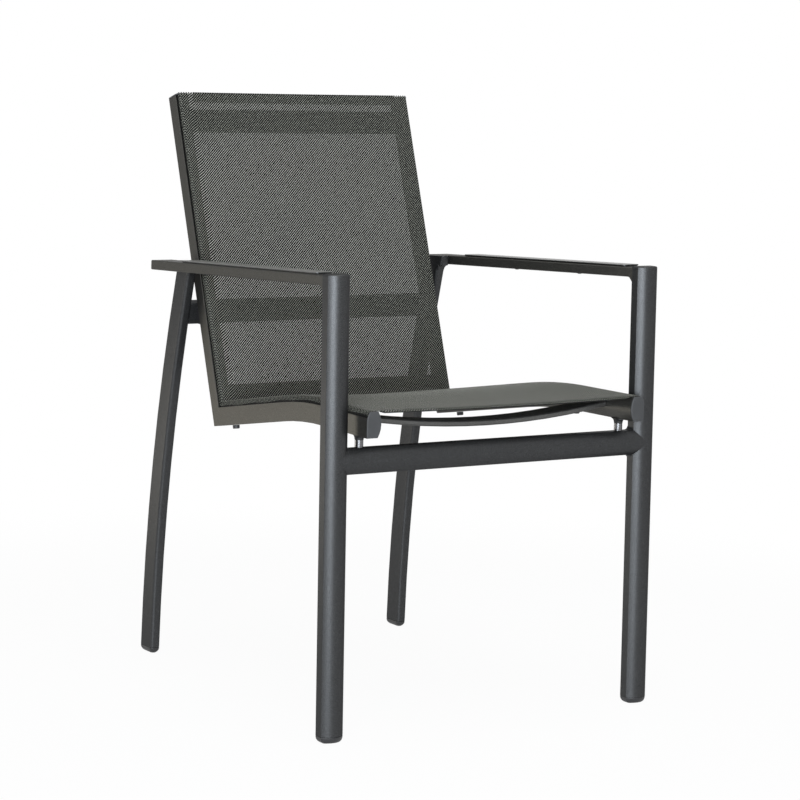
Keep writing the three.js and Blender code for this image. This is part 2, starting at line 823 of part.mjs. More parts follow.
// Half of the sling's section beside one rail, from the slot to the rail's crown.
function hemHalf(offset) {
  return [
    point(slotInner - offset, slotRoomTop - fit),
    ...noseArc(noseRound + offset),
    point(railOuter + railCrown, railDepth + offset),
  ];
}

function slingSide(stop, offset) {
  const right = hemHalf(offset).map((p) => point(stop.spread - p.x, p.y));
  const left = right.map((p) => point(-p.x, p.y)).reverse();
  const middle = slingShares.map((share) => point(
    share * (stop.spread - railWidth / 2),
    railDepth + offset - stop.sag * (1 - share * share)));
  return [...right, ...middle, ...left];
}

const slingTop = backStop(backLength - slingTopInset, edgeSag);
const slingStops = [...railStops.slice(0, -1), slingTop];

add('sling', skin(slingStops.map((stop) => {
  const rail = onRail(-1, { ...stop, spread: 0 });
  return section(rail, [...slingSide(stop, fit + clothThickness), ...slingSide(stop, fit).reverse()]);
})), slingCloth);

// Cords in the sling's hems

const cordCentre = point(slotOuter + slotRoom / 2, slotRoomFloor + slotRoom / 2);

// The cord keeps its own thickness where the rail is less deep.
function cordSection(side, stop) {
  const outline = Array.from({ length: cordSides }, (_, i) => {
    const angle = (2 * Math.PI * (i + 0.5)) / cordSides;
    const rise = cordRadius * Math.sin(angle);
    return point(cordCentre.x + cordRadius * Math.cos(angle), cordCentre.y + rise / stop.share);
  });
  return section(onRail(side, stop), outline);
}

sides.forEach(([label, side]) => {
  add(`sling_cord_${label}`, skin(slingStops.map((stop) => cordSection(side, stop))), cordBlack);
});

// Stacking bumpers

function bumper() {
  return turned([
    [0, -bumperHeight], [bumperRadius - bumperEdge, -bumperHeight],
    [bumperRadius, bumperEdge - bumperHeight], [bumperRadius, 0], [0, 0],
  ], boltSides);
}

// The rail's underside at a place along the seat, between the stops on either side.
function underRail(y) {
  const after = railStops.findIndex((stop) => stop.y > y);
  const [a, b] = [railStops[after - 1], railStops[after]];
  const tilt = Math.atan2(a.z - b.z, b.y - a.y);
  return { z: THREE.MathUtils.mapLinear(y, a.y, b.y, a.z, b.z), tilt };
}

sides.forEach(([label, side]) => {
  [['front', bumperFrontY], ['rear', bumperRearY]].forEach(([end, y]) => {
    const { z, tilt } = underRail(y);
    const body = bumper().translate(0, 0, -fit).rotateX(-tilt).translate(side * railSpread(y), y, z);
    add(`bumper_${end}_${label}`, body, blackPlastic);
  });
});

// Centre the chair's footprint on the origin
const frontMost = railFrontY - fit - railCapThickness;
const rearMost = rearFootY + rearDepth / 2;
chair.position.y = -(frontMost + rearMost) / 2;

export default chair;
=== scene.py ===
# %% [markdown]
# # A sling patio chair
# This notebook dresses a finished engineering model of a stacking patio armchair. The chair has an
# aluminium frame with a charcoal powder coat, grey plastic slats on its armrests, and one woven sling
# for seat and back. The engineering model is loaded first and stays fixed, so every piece made here
# takes its place and size from it.

# %% Load the engineering model
import math

import bpy
import numpy as np
from mathutils import Matrix, Vector


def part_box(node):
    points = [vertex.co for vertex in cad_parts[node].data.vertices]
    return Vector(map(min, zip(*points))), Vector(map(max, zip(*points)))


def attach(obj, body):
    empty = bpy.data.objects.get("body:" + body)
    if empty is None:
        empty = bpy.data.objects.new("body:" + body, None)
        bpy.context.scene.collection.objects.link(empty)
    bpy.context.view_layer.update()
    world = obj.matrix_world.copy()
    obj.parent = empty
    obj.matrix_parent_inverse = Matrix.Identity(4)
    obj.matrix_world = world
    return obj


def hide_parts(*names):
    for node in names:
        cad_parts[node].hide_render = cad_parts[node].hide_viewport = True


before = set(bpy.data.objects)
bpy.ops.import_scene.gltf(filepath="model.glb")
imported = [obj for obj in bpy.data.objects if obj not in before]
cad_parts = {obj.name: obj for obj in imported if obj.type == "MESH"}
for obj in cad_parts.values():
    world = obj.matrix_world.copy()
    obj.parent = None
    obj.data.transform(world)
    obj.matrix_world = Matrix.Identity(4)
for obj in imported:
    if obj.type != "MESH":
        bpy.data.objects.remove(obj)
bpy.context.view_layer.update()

# %% [markdown]
# ## Camera
# The photograph was taken from about four metres away with a long lens, so parallel legs stay nearly
# parallel. Seen from the front, the camera stands to the left of the chair, turned 33 degrees to the
# right, and looks a little down. A camera could be aimed at a point on the chair, but this one was
# fitted to the chair's parallel lines, so its place and its three angles are written down instead.

# %% Camera
CAMERA_PLACE = Vector((-2.240, -3.46335, 0.985))
CAMERA_YAW = math.radians(33.19)
CAMERA_PITCH = math.radians(7.66)
CAMERA_ROLL = math.radians(1.82)
SENSOR = 36.0
LENS = 123.8
FAR_CLIP = 50.0

ahead = Vector((
    math.sin(CAMERA_YAW) * math.cos(CAMERA_PITCH),
    math.cos(CAMERA_YAW) * math.cos(CAMERA_PITCH),
    -math.sin(CAMERA_PITCH),
))
level_right = Vector((math.cos(CAMERA_YAW), -math.sin(CAMERA_YAW), 0))
level_up = level_right.cross(ahead)
right = level_right * math.cos(CAMERA_ROLL) + level_up * math.sin(CAMERA_ROLL)
up = level_up * math.cos(CAMERA_ROLL) - level_right * math.sin(CAMERA_ROLL)

bpy.ops.object.camera_add()
camera = bpy.context.object
camera.name = "photo_camera"
camera.data.sensor_width = SENSOR
camera.data.lens = LENS
camera.data.clip_end = FAR_CLIP
camera.matrix_world = Matrix.Translation(CAMERA_PLACE) @ Matrix((right, up, -ahead)).transposed().to_4x4()
bpy.context.scene.camera = camera
print("camera looks along", [round(v, 3) for v in ahead])

# %% [markdown]
# ## Studio
# The chair stands on a plain white floor in front of a white backdrop. The floor could be lit until
# it is white, but that would wash out the chair. So it shows white to the camera by itself, and only
# a part of it reacts to light, which keeps a soft shadow under the feet.

# %% Floor
FLOOR_SIZE = 60.0
FLOOR_GLOW = 0.955
FLOOR_WHITE = (0.8, 0.8, 0.8, 1)
SHADOW_REACH = 1.6


def new_material(name):
    material = bpy.data.materials.new(name)
    material.use_nodes = True
    material.node_tree.nodes.clear()
    return material, material.node_tree.nodes, material.node_tree.links


def seen_directly(nodes, links):
    """1 for rays from the camera, mirror-like rays and rays through glass, otherwise 0."""
    path = nodes.new("ShaderNodeLightPath")
    either = nodes.new("ShaderNodeMath")
    either.operation = "MAXIMUM"
    links.new(path.outputs["Is Camera Ray"], either.inputs[0])
    links.new(path.outputs["Is Glossy Ray"], either.inputs[1])
    either_or_through = nodes.new("ShaderNodeMath")
    either_or_through.operation = "MAXIMUM"
    links.new(either.outputs[0], either_or_through.inputs[0])
    links.new(path.outputs["Is Transmission Ray"], either_or_through.inputs[1])
    return either_or_through.outputs[0]


def glow_share(nodes, links):
    """The share of the floor that is plain white: a large part near the chair, all of it far out."""
    place = nodes.new("ShaderNodeTexCoord")
    from_chair = nodes.new("ShaderNodeVectorMath")
    from_chair.operation = "LENGTH"
    links.new(place.outputs["Object"], from_chair.inputs[0])
    fade = nodes.new("ShaderNodeMapRange")
    fade.interpolation_type = "SMOOTHSTEP"
    fade.inputs["From Min"].default_value = SHADOW_REACH / 2
    fade.inputs["From Max"].default_value = SHADOW_REACH
    fade.inputs["To Min"].default_value = FLOOR_GLOW
    fade.inputs["To Max"].default_value = 1.0
    links.new(from_chair.outputs["Value"], fade.inputs["Value"])
    return fade.outputs["Result"]


def floor_material():
    material, nodes, links = new_material("studio_floor")
    out = nodes.new("ShaderNodeOutputMaterial")
    lit = nodes.new("ShaderNodeBsdfDiffuse")
    lit.inputs["Color"].default_value = FLOOR_WHITE
    glow = nodes.new("ShaderNodeEmission")
    glow.inputs["Strength"].default_value = 1.0
    share = nodes.new("ShaderNodeMath")
    share.operation = "MULTIPLY"
    links.new(seen_directly(nodes, links), share.inputs[0])
    links.new(glow_share(nodes, links), share.inputs[1])
    blend = nodes.new("ShaderNodeMixShader")
    links.new(share.outputs[0], blend.inputs["Fac"])
    links.new(lit.outputs[0], blend.inputs[1])
    links.new(glow.outputs[0], blend.inputs[2])
    links.new(blend.outputs[0], out.inputs["Surface"])
    return material


bpy.ops.mesh.primitive_plane_add(size=FLOOR_SIZE, location=(0, 0, 0))
floor = bpy.context.object
floor.name = "studio_floor"
floor.data.materials.append(floor_material())
print("floor:", FLOOR_SIZE, "m square")

# %% [markdown]
# The backdrop is the world itself. Seen directly, or mirrored in the metal, it is plain white. As a
# light it is much weaker, like the walls of a room, so the chair's dark colours stay dark.

# %% Backdrop
AMBIENT = 0.21


def studio_world():
    world = bpy.data.worlds.new("studio_world")
    world.use_nodes = True
    nodes, links = world.node_tree.nodes, world.node_tree.links
    nodes.clear()
    out = nodes.new("ShaderNodeOutputWorld")
    air = nodes.new("ShaderNodeBackground")
    air.inputs["Strength"].default_value = AMBIENT
    backdrop = nodes.new("ShaderNodeBackground")
    backdrop.inputs["Strength"].default_value = 1.0
    for background in (air, backdrop):
        background.inputs["Color"].default_value = (1, 1, 1, 1)
    blend = nodes.new("ShaderNodeMixShader")
    links.new(seen_directly(nodes, links), blend.inputs["Fac"])
    links.new(air.outputs[0], blend.inputs[1])
    links.new(backdrop.outputs[0], blend.inputs[2])
    links.new(blend.outputs[0], out.inputs["Surface"])
    return world


bpy.context.scene.world = studio_world()
bpy.context.scene.view_settings.view_transform = "Standard"
print("world light:", AMBIENT)

# %% [markdown]
# Softboxes give metal its shape. A large one just behind the camera draws the long highlight down
# the round front of the legs, and one overhead lights the seat and the tops of the armrests. A white
# floor throws light back up, so a small low one behind the left side lights the flat outer sides.

# %% Softboxes
AIM = Vector((0, 0, 0.45))


def softbox(name, azimuth, elevation, distance, width, height, power, colour=(1, 1, 1)):
    """A soft lamp aimed at the chair. Azimuth 0 is in front, and 90 on the left as seen from there."""
    flat = math.cos(math.radians(elevation))
    way = Vector((
        -math.sin(math.radians(azimuth)) * flat,
        -math.cos(math.radians(azimuth)) * flat,
        math.sin(math.radians(elevation)),
    ))
    bpy.ops.object.light_add(type="AREA", location=AIM + way * distance)
    lamp = bpy.context.object
    lamp.name = name
    lamp.data.shape = "RECTANGLE"
    lamp.data.size = width
    lamp.data.size_y = height
    lamp.data.energy = power
    lamp.data.color = colour
    lamp.rotation_euler = way.to_track_quat("Z", "Y").to_euler()


softbox("key_softbox", azimuth=34, elevation=6, distance=4.6, width=2.9, height=1.7, power=280,
        colour=(0.87, 0.935, 1.0))
softbox("left_softbox", azimuth=137, elevation=-11, distance=1.71, width=0.5, height=0.3, power=3.3,
        colour=(1.0, 0.93, 0.80))
softbox("top_softbox", azimuth=10, elevation=75, distance=3.0, width=2.6, height=2.6, power=60)

# %% [markdown]
# ## Finishes
# Each finish is a small tree of nodes. Photographs of real surfaces would be quicker, but they repeat
# and they fix one scale. Noise that reads the piece's own coordinates in metres has neither fault, so
# a few helpers build the parts that all finishes share: a shader, a noise, a ramp and a bump.

# %% Helpers for finishes


def principled(nodes, links):
    out = nodes.new("ShaderNodeOutputMaterial")
    shader = nodes.new("ShaderNodeBsdfPrincipled")
    links.new(shader.outputs["BSDF"], out.inputs["Surface"])
    return shader


def object_noise(nodes, links, scale, detail=2.0):
    place = nodes.new("ShaderNodeTexCoord")
    noise = nodes.new("ShaderNodeTexNoise")
    noise.inputs["Scale"].default_value = scale
    noise.inputs["Detail"].default_value = detail
    links.new(place.outputs["Object"], noise.inputs["Vector"])
    return noise.outputs["Fac"]


def ramp(nodes, links, value, low, high):
    """A colour ramp over a value. Its two stops are each a place and a colour."""
    node = nodes.new("ShaderNodeValToRGB")
    for element, (place, colour) in zip(node.color_ramp.elements, (low, high)):
        element.position = place
        element.color = colour
    links.new(value, node.inputs["Fac"])
    return node.outputs["Color"]


def bump(nodes, links, shader, height, depth, strength):
    node = nodes.new("ShaderNodeBump")
    node.inputs["Strength"].default_value = strength
    node.inputs["Distance"].default_value = depth
    links.new(height, node.inputs["Height"])
    links.new(node.outputs["Normal"], shader.inputs["Normal"])


def between(nodes, links, value, low, high):
    """Maps a value from 0-1 to low-high."""
    node = nodes.new("ShaderNodeMapRange")
    node.inputs["To Min"].default_value = low
    node.inputs["To Max"].default_value = high
    links.new(value, node.inputs["Value"])
    return node.outputs["Result"]


# %% [markdown]
# Powder coat is paint melted onto the metal. Its surface has a faint orange peel, and this one holds
# fine metal flakes that sparkle as a light grain. Plain paint would miss the grain and bare metal the
# depth, so the shader is mostly metal with a dimmed edge shine. A fine noise makes the flakes, and a
# soft bump the orange peel. The frame has one paint, but the armrests and rails get a lighter, warmer
# copy of the coat, and the bowed bar under the seat the lightest copy: painted light on those parts.

# %% Powder coat
CHARCOAL = (0.032, 0.0325, 0.033, 1)
CHARCOAL_FLAKE = (0.078, 0.079, 0.081, 1)
# Lighter copies of the coat: painted light for the armrests, rails and bowed bar.
PAINTED_LIGHT_BAR_CHARCOAL = (0.050, 0.049, 0.045, 1)
PAINTED_LIGHT_BAR_FLAKE = (0.112, 0.109, 0.101, 1)
PAINTED_LIGHT_BOW_CHARCOAL = (0.078, 0.077, 0.074, 1)
PAINTED_LIGHT_BOW_FLAKE = (0.152, 0.150, 0.145, 1)
EDGE_TINT = (0.4, 0.4, 0.4, 1)
COAT_METAL = 0.8
COAT_SPECULAR = 0.3
COAT_ROUGHNESS = (0.39, 0.41)
CLOUD_SCALE = 9.0
FLAKE_SCALE = 1400.0
FLAKE_START = 0.40
FLAKE_FULL = 0.72
PEEL_SCALE = 700.0
PEEL_DEPTH = 0.00012
PEEL_STRENGTH = 0.35


def powder_coat(name, dark, flake):
    material, nodes, links = new_material(name)
    shader = principled(nodes, links)
    grain = object_noise(nodes, links, FLAKE_SCALE)
    colour = ramp(nodes, links, grain, (FLAKE_START, dark), (FLAKE_FULL, flake))
    links.new(colour, shader.inputs["Base Color"])
    clouds = object_noise(nodes, links, CLOUD_SCALE)
    links.new(between(nodes, links, clouds, *COAT_ROUGHNESS), shader.inputs["Roughness"])
    shader.inputs["Metallic"].default_value = COAT_METAL
    shader.inputs["Specular IOR Level"].default_value = COAT_SPECULAR
    shader.inputs["Specular Tint"].default_value = EDGE_TINT
    bump(nodes, links, shader, object_noise(nodes, links, PEEL_SCALE), PEEL_DEPTH, PEEL_STRENGTH)
    return material


coat = powder_coat("charcoal_powder_coat", CHARCOAL, CHARCOAL_FLAKE)
# Painted light: the same coat made lighter and warmer for the armrests, rails and bowed bar.
painted_light_bar_coat = powder_coat("bar_powder_coat_painted_light", PAINTED_LIGHT_BAR_CHARCOAL, PAINTED_LIGHT_BAR_FLAKE)
painted_light_bow_coat = powder_coat("bow_powder_coat_painted_light", PAINTED_LIGHT_BOW_CHARCOAL, PAINTED_LIGHT_BOW_FLAKE)
print("powder coats:", coat.name, painted_light_bar_coat.name, painted_light_bow_coat.name)

# %% [markdown]
# The slats, caps, glides, wedges, bumpers and hem cords are plastic, and their surface is even but
# slightly mottled. One flat colour would look like paper up close, so each has a broad soft noise in
# its colour and a fine one in its roughness and bump.

# %% Moulded plastics
MOTTLE_SCALE = 60.0
MOTTLE_DETAIL = 4.0
MOTTLE_START = 0.35
MOTTLE_FULL = 0.65
ROUGHNESS_SPREAD = 0.05
MOULD_BUMP = 0.4


def moulded(name, dark, light, roughness, grain, depth):
    material, nodes, links = new_material(name)
    shader = principled(nodes, links)
    mottle = object_noise(nodes, links, MOTTLE_SCALE, MOTTLE_DETAIL)
    links.new(ramp(nodes, links, mottle, (MOTTLE_START, dark), (MOTTLE_FULL, light)),
              shader.inputs["Base Color"])
    spread = between(nodes, links, object_noise(nodes, links, grain / 2),
                     roughness - ROUGHNESS_SPREAD, roughness + ROUGHNESS_SPREAD)
    links.new(spread, shader.inputs["Roughness"])
    bump(nodes, links, shader, object_noise(nodes, links, grain), depth, MOULD_BUMP)
    return material


slat_plastic = moulded(
    "slat_plastic", dark=(0.105, 0.105, 0.099, 1), light=(0.132, 0.132, 0.124, 1),
    roughness=0.36, grain=500.0, depth=0.00005)
black_plastic = moulded(
    "black_plastic", dark=(0.008, 0.008, 0.009, 1), light=(0.014, 0.014, 0.015, 1),
    roughness=0.5, grain=600.0, depth=0.0001)
cap_plastic = moulded(
    "cap_plastic", dark=(0.027, 0.028, 0.0295, 1), light=(0.033, 0.034, 0.036, 1),
    roughness=0.55, grain=500.0, depth=0.0001)
cord_plastic = moulded(
    "hem_cord_plastic", dark=(0.016, 0.016, 0.016, 1), light=(0.024, 0.024, 0.024, 1),
    roughness=0.6, grain=400.0, depth=0.0001)
print("plastics:", slat_plastic.name, black_plastic.name, cap_plastic.name, cord_plastic.name)

# %% [markdown]
# Each slat has a lower step in the engineering model, set back under its edge, and the gap over that
# step lies in shade, which shows as a dark line all around the slat. That line is wider than the step,
# so the slat's plastic is painted black up to its rounded upper edge: a painted shadow for the gap.
# A second piece could make the line too, but a colour that follows the height needs no gap to fit it
# in. The height is measured square to the slat's top face, because the armrest slopes.

# %% The slats' painted shadow gap
# Painted shade: below this height under its top face, the slat's plastic turns black for the gap's shadow.
SLAT_EDGE = 0.00068
SHADOW_GAP_BLACK = (0.003, 0.003, 0.003, 1)

slat_top = max(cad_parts["arm_slat_left"].data.polygons, key=lambda face: face.normal.z * face.area)
arm_up = slat_top.normal.copy()
painted_shadow_top = arm_up.dot(slat_top.center) - SLAT_EDGE


def paint_gap_shadow(material):
    nodes, links = material.node_tree.nodes, material.node_tree.links
    shader = next(node for node in nodes if node.type == "BSDF_PRINCIPLED")
    place = nodes.new("ShaderNodeTexCoord")
    height = nodes.new("ShaderNodeVectorMath")
    height.operation = "DOT_PRODUCT"
    height.inputs[1].default_value = arm_up
    links.new(place.outputs["Object"], height.inputs[0])
    # 1 below that height, where the shadow of the gap is painted in black.
    in_painted_shadow = nodes.new("ShaderNodeMath")
    in_painted_shadow.operation = "LESS_THAN"
    in_painted_shadow.inputs[1].default_value = painted_shadow_top
    links.new(height.outputs["Value"], in_painted_shadow.inputs[0])
    colour = nodes.new("ShaderNodeMix")
    colour.data_type = "RGBA"
    links.new(in_painted_shadow.outputs[0], colour.inputs["Factor"])
    links.new(shader.inputs["Base Color"].links[0].from_socket, colour.inputs["A"])
    colour.inputs["B"].default_value = SHADOW_GAP_BLACK
    links.new(colour.outputs["Result"], shader.inputs["Base Color"])


paint_gap_shadow(slat_plastic)
print("painted shadow top at", round(painted_shadow_top, 5), "m along", [round(v, 4) for v in arm_up])

# %% [markdown]
# The spacer pins and screws are bright turned steel, with the faint rings that a lathe leaves. As
# grooves in a mesh they would be far too fine, so a noise that is squeezed along the pins' upright
# axis draws them in the colour and the roughness.

# %% Turned steel
STEEL_DARK = (0.11, 0.11, 0.115, 1)
STEEL_LIGHT = (0.20, 0.20, 0.205, 1)
STEEL_ROUGHNESS = (0.2, 0.34)
RING_STRETCH = (40, 40, 2500)
RING_START = 0.3
RING_FULL = 0.7


def turned_steel():
    material, nodes, links = new_material("turned_steel")
    shader = principled(nodes, links)
    place = nodes.new("ShaderNodeTexCoord")
    stretch = nodes.new("ShaderNodeMapping")
    stretch.inputs["Scale"].default_value = RING_STRETCH
    noise = nodes.new("ShaderNodeTexNoise")
    noise.inputs["Scale"].default_value = 1.0
    links.new(place.outputs["Object"], stretch.inputs["Vector"])
    links.new(stretch.outputs["Vector"], noise.inputs["Vector"])
    rings = noise.outputs["Fac"]
    links.new(ramp(nodes, links, rings, (RING_START, STEEL_DARK), (RING_FULL, STEEL_LIGHT)),
              shader.inputs["Base Color"])
    links.new(between(nodes, links, rings, *STEEL_ROUGHNESS), shader.inputs["Roughness"])
    shader.inputs["Metallic"].default_value = 1.0
    return material


steel = turned_steel()
print("finish:", steel.name)

# %% [markdown]
# The sling is a plain weave of coated polyester yarns: light grey ones run up the chair, and black
# ones run across. Where a light yarn lies on top, a fleck shows, and its twist makes the fleck slant.
# Every second gap between the yarns is open, where two flecks point at each other. So the flecks and
# the light through the gaps join up and read as diagonal lines from afar. Real yarns as meshes would
# be millions of faces, so all of it is worked out from the cloth's own UV maps, in metres: one says
# where a point lies on the flat cloth, and one how far it is from the nearest edges.

# %% Sums of node values


class Sums:
    """Writes short sums of node values, so that a weave reads like its formula."""

    def __init__(self, nodes, links):
        self.nodes, self.links = nodes, links

    def do(self, operation, *values):
        node = self.nodes.new("ShaderNodeMath")
        node.operation = operation
        for socket, value in zip(node.inputs, values):
            if isinstance(value, (int, float)):
                socket.default_value = value
            else:
                self.links.new(value, socket)
        return node.outputs[0]

    def whole(self, value):
        return self.do("FLOOR", value)

    def nearest(self, value):
        return self.do("FLOOR", self.do("ADD", value, 0.5))

    def odd(self, whole):
        """1 where a whole number is odd, and 0 where it is even."""
        return self.do("GREATER_THAN", self.do("FRACT", self.do("MULTIPLY", whole, 0.5)), 0.25)

    def uv(self, uv_map):
        """The two numbers of a UV map."""
        cloth = self.nodes.new("ShaderNodeUVMap")
        cloth.uv_map = uv_map
        split = self.nodes.new("ShaderNodeSeparateXYZ")
        self.links.new(cloth.outputs["UV"], split.inputs[0])
        return split.outputs["X"], split.outputs["Y"]


# %% Yarns, flecks and gaps
WARP_PITCH = 0.00214
WEFT_PITCH = 0.00202
YARN_SHARE = 0.58
FLECK_WIDTH = 0.22
FLECK_LENGTH = 0.50
# The width of the painted shade along each side of the cloth, where it goes into the slots.
SIDE_SHADE_WIDTH = 0.0108
TOOTH = 0.0016


def yarn_count(sums, distance, pitch):
    """How many yarns a distance holds, and how far its end is from the middle of its yarn."""
    count = sums.do("DIVIDE", distance, pitch)
    return count, sums.do("SUBTRACT", sums.do("FRACT", count), 0.5)


def on_yarn(sums, from_middle):
    return sums.do("LESS_THAN", sums.do("ABSOLUTE", from_middle), YARN_SHARE / 2)


def fleck_bulge(sums, warp_count, weft_count, from_warp, from_weft):
    """The slanting oval where a light yarn bulges over a black one: 1 in its middle, 0 outside."""
    warp_on_top = sums.odd(sums.do("ADD", sums.whole(warp_count), sums.whole(weft_count)))
    slant_width = sums.do("DIVIDE", sums.do("SUBTRACT", from_warp, from_weft), FLECK_WIDTH * math.sqrt(2))
    slant_length = sums.do("DIVIDE", sums.do("ADD", from_warp, from_weft), FLECK_LENGTH * math.sqrt(2))
    oval = sums.do("ADD", sums.do("MULTIPLY", slant_width, slant_width),
                   sums.do("MULTIPLY", slant_length, slant_length))
    return sums.do("MULTIPLY", warp_on_top, sums.do("MAXIMUM", sums.do("SUBTRACT", 1.0, oval), 0.0))


def clear_of_side_shade(sums, weft_count, from_side, from_end):
    """0 in a painted shade along each side, by the rails' slots, whose edge steps in and out with the yarns,
    and at the cut ends.
    """
    # Painted shade: no light flecks in a band along each side of the cloth.
    step = sums.do("MULTIPLY", sums.odd(sums.whole(weft_count)), WARP_PITCH / 2)
    shade_edge = sums.do("ADD", step, SIDE_SHADE_WIDTH)
    return sums.do("MULTIPLY", sums.do("GREATER_THAN", from_side, shade_edge),
                   sums.do("GREATER_THAN", from_end, TOOTH))


def cloth_cover(sums, warp_count, weft_count, on_warp, on_weft, from_end):
    """1 where there is cloth, and 0 in every second gap and between the teeth of a cut end."""
    gap = sums.do("ADD", sums.nearest(warp_count), sums.nearest(weft_count))
    closed = sums.do("SUBTRACT", 1.0, sums.odd(gap))
    cloth = sums.do("MAXIMUM", sums.do("MAXIMUM", on_warp, on_weft), closed)
    cut = sums.do("MULTIPLY", sums.odd(sums.whole(warp_count)), sums.do("LESS_THAN", from_end, TOOTH))
    return sums.do("MULTIPLY", cloth, sums.do("SUBTRACT", 1.0, cut))


print("weave pitch:", WARP_PITCH, "by", WEFT_PITCH, "m")

# %% Woven sling
LIGHT_YARN = (0.335, 0.338, 0.285, 1)
DARK_YARN = (0.005, 0.005, 0.005, 1)
FLECK_CRISPNESS = 2.2
YARN_ROUGHNESS = 0.7
YARN_SPECULAR = 0.08
SHEEN = 0.14
SHEEN_TINT = (1.0, 0.98, 0.86, 1)
SHEEN_ROUGHNESS = 0.3
BLACK_YARN_RISE = 0.4
WEAVE_DEPTH = 0.0002
WEAVE_BUMP = 0.3


def fleck_colour(sums, fleck):
    colour = sums.nodes.new("ShaderNodeMix")
    colour.data_type = "RGBA"
    colour.inputs["A"].default_value = DARK_YARN
    colour.inputs["B"].default_value = LIGHT_YARN
    sums.links.new(fleck, colour.inputs["Factor"])
    return colour.outputs["Result"]


def sling_weave(name, with_flecks):
    material, nodes, links = new_material(name)
    shader = principled(nodes, links)
    sums = Sums(nodes, links)
    across, along = sums.uv("cloth")
    from_side, from_end = sums.uv("edges")
    warp_count, from_warp = yarn_count(sums, across, WARP_PITCH)
    weft_count, from_weft = yarn_count(sums, along, WEFT_PITCH)
    on_warp, on_weft = on_yarn(sums, from_warp), on_yarn(sums, from_weft)
    bulge = fleck_bulge(sums, warp_count, weft_count, from_warp, from_weft)
    shader.inputs["Base Color"].default_value = DARK_YARN
    if with_flecks:
        fleck = sums.do("MINIMUM", sums.do("MULTIPLY", bulge, FLECK_CRISPNESS), 1.0)
        light = sums.do("MULTIPLY", fleck, clear_of_side_shade(sums, weft_count, from_side, from_end))
        links.new(fleck_colour(sums, light), shader.inputs["Base Color"])
    shader.inputs["Roughness"].default_value = YARN_ROUGHNESS
    shader.inputs["Specular IOR Level"].default_value = YARN_SPECULAR
    shader.inputs["Sheen Weight"].default_value = SHEEN
    shader.inputs["Sheen Tint"].default_value = SHEEN_TINT
    shader.inputs["Sheen Roughness"].default_value = SHEEN_ROUGHNESS
    rise = sums.do("MAXIMUM", bulge, sums.do("MULTIPLY", on_weft, BLACK_YARN_RISE))
    bump(nodes, links, shader, rise, WEAVE_DEPTH, WEAVE_BUMP)
    cover = cloth_cover(sums, warp_count, weft_count, on_warp, on_weft, from_end)
    links.new(cover, shader.inputs["Alpha"])
    return material


weave = sling_weave("sling_weave", with_flecks=True)
black_weave = sling_weave("black_hem_weave", with_flecks=False)
print("weaves:", weave.name, black_weave.name)

# %% [markdown]
# ## The metal and plastic pieces
# The engineering model's pieces have the right shape, but they are made of flat facets with sharp
# edges. Real edges are always a little round, and that thin round edge is what catches the light.
# Pieces modelled anew could lose their exact size, so each one is copied. Its loose triangles are
# joined into one skin, its sharp edges get a small bevel, and its curved sides are shaded smooth.
# The copy then stands for the original.

# %% Copies with rounded edges
SAME_POINT = 1e-6
FLAT_ANGLE = math.radians(0.3)
SHARP_ANGLE = math.radians(32)
SMOOTH_ANGLE = math.radians(38)
BEVEL_SEGMENTS = 2


def alone(piece):
    """Selects one object and nothing else."""
    bpy.ops.object.select_all(action="DESELECT")
    piece.select_set(True)
    bpy.context.view_layer.objects.active = piece


def joined_copy(node, name):
    """A copy of an engineering piece, with its loose triangles joined into one clean skin."""
    alone(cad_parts[node])
    bpy.ops.object.duplicate()
    piece = bpy.context.object
    piece.name = name
    piece.data.name = name
    # The marks on an engineering piece are its own, so the copy drops them.
    for key in list(piece.keys()):
        del piece[key]
    bpy.ops.mesh.customdata_custom_splitnormals_clear()
    bpy.ops.object.mode_set(mode="EDIT")
    bpy.ops.mesh.select_all(action="SELECT")
    bpy.ops.mesh.remove_doubles(threshold=SAME_POINT)
    bpy.ops.mesh.dissolve_limited(angle_limit=FLAT_ANGLE)
    bpy.ops.object.mode_set(mode="OBJECT")
    return piece


def round_edges(piece, width):
    """Bevels all edges that turn by more than an angle, and shades the rest smooth."""
    alone(piece)
    bevel = piece.modifiers.new("round_edges", "BEVEL")
    bevel.width = width
    bevel.segments = BEVEL_SEGMENTS
    bevel.limit_method = "ANGLE"
    bevel.angle_limit = SHARP_ANGLE
    bevel.use_clamp_overlap = True
    bpy.ops.object.modifier_apply(modifier=bevel.name)
    bpy.ops.object.shade_smooth_by_angle(angle=SMOOTH_ANGLE)
    # Without this the thin bevels would tilt the shading of the long walls beside them.
    even = piece.modifiers.new("even_normals", "WEIGHTED_NORMAL")
    even.keep_sharp = True
    bpy.ops.object.modifier_apply(modifier=even.name)


def finish_piece(piece, material, slot, *nodes):
    """Gives a piece its finish, and lets it stand for engineering pieces where it replaces them."""
    piece.data.materials.clear()
    piece.data.materials.append(material)
    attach(piece, "root")
    if nodes:
        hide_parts(*nodes)
    return piece


print("edges that turn more than", round(math.degrees(SHARP_ANGLE)), "degrees are rounded")

# %% [markdown]
# Bars, legs and armrests are welded to each other. The engineering model keeps a thin gap there, so
# that its solids don't overlap. One joined mesh would close the gap, but the pieces should stay
# apart, so the ends of the copies reach into their neighbours. The stretcher reaches to the middle
# of the legs, because its round front meets theirs only there.

# %% Welded ends
END_DEPTH = 0.001
X, Y, Z = 0, 1, 2
BOTH_WAYS = (-1, 1)
LEG_REACH = 0.001
ARM_REACH = 0.003
CROSSBAR_REACH = 0.002
BACK_BAR_REACH = 0.001

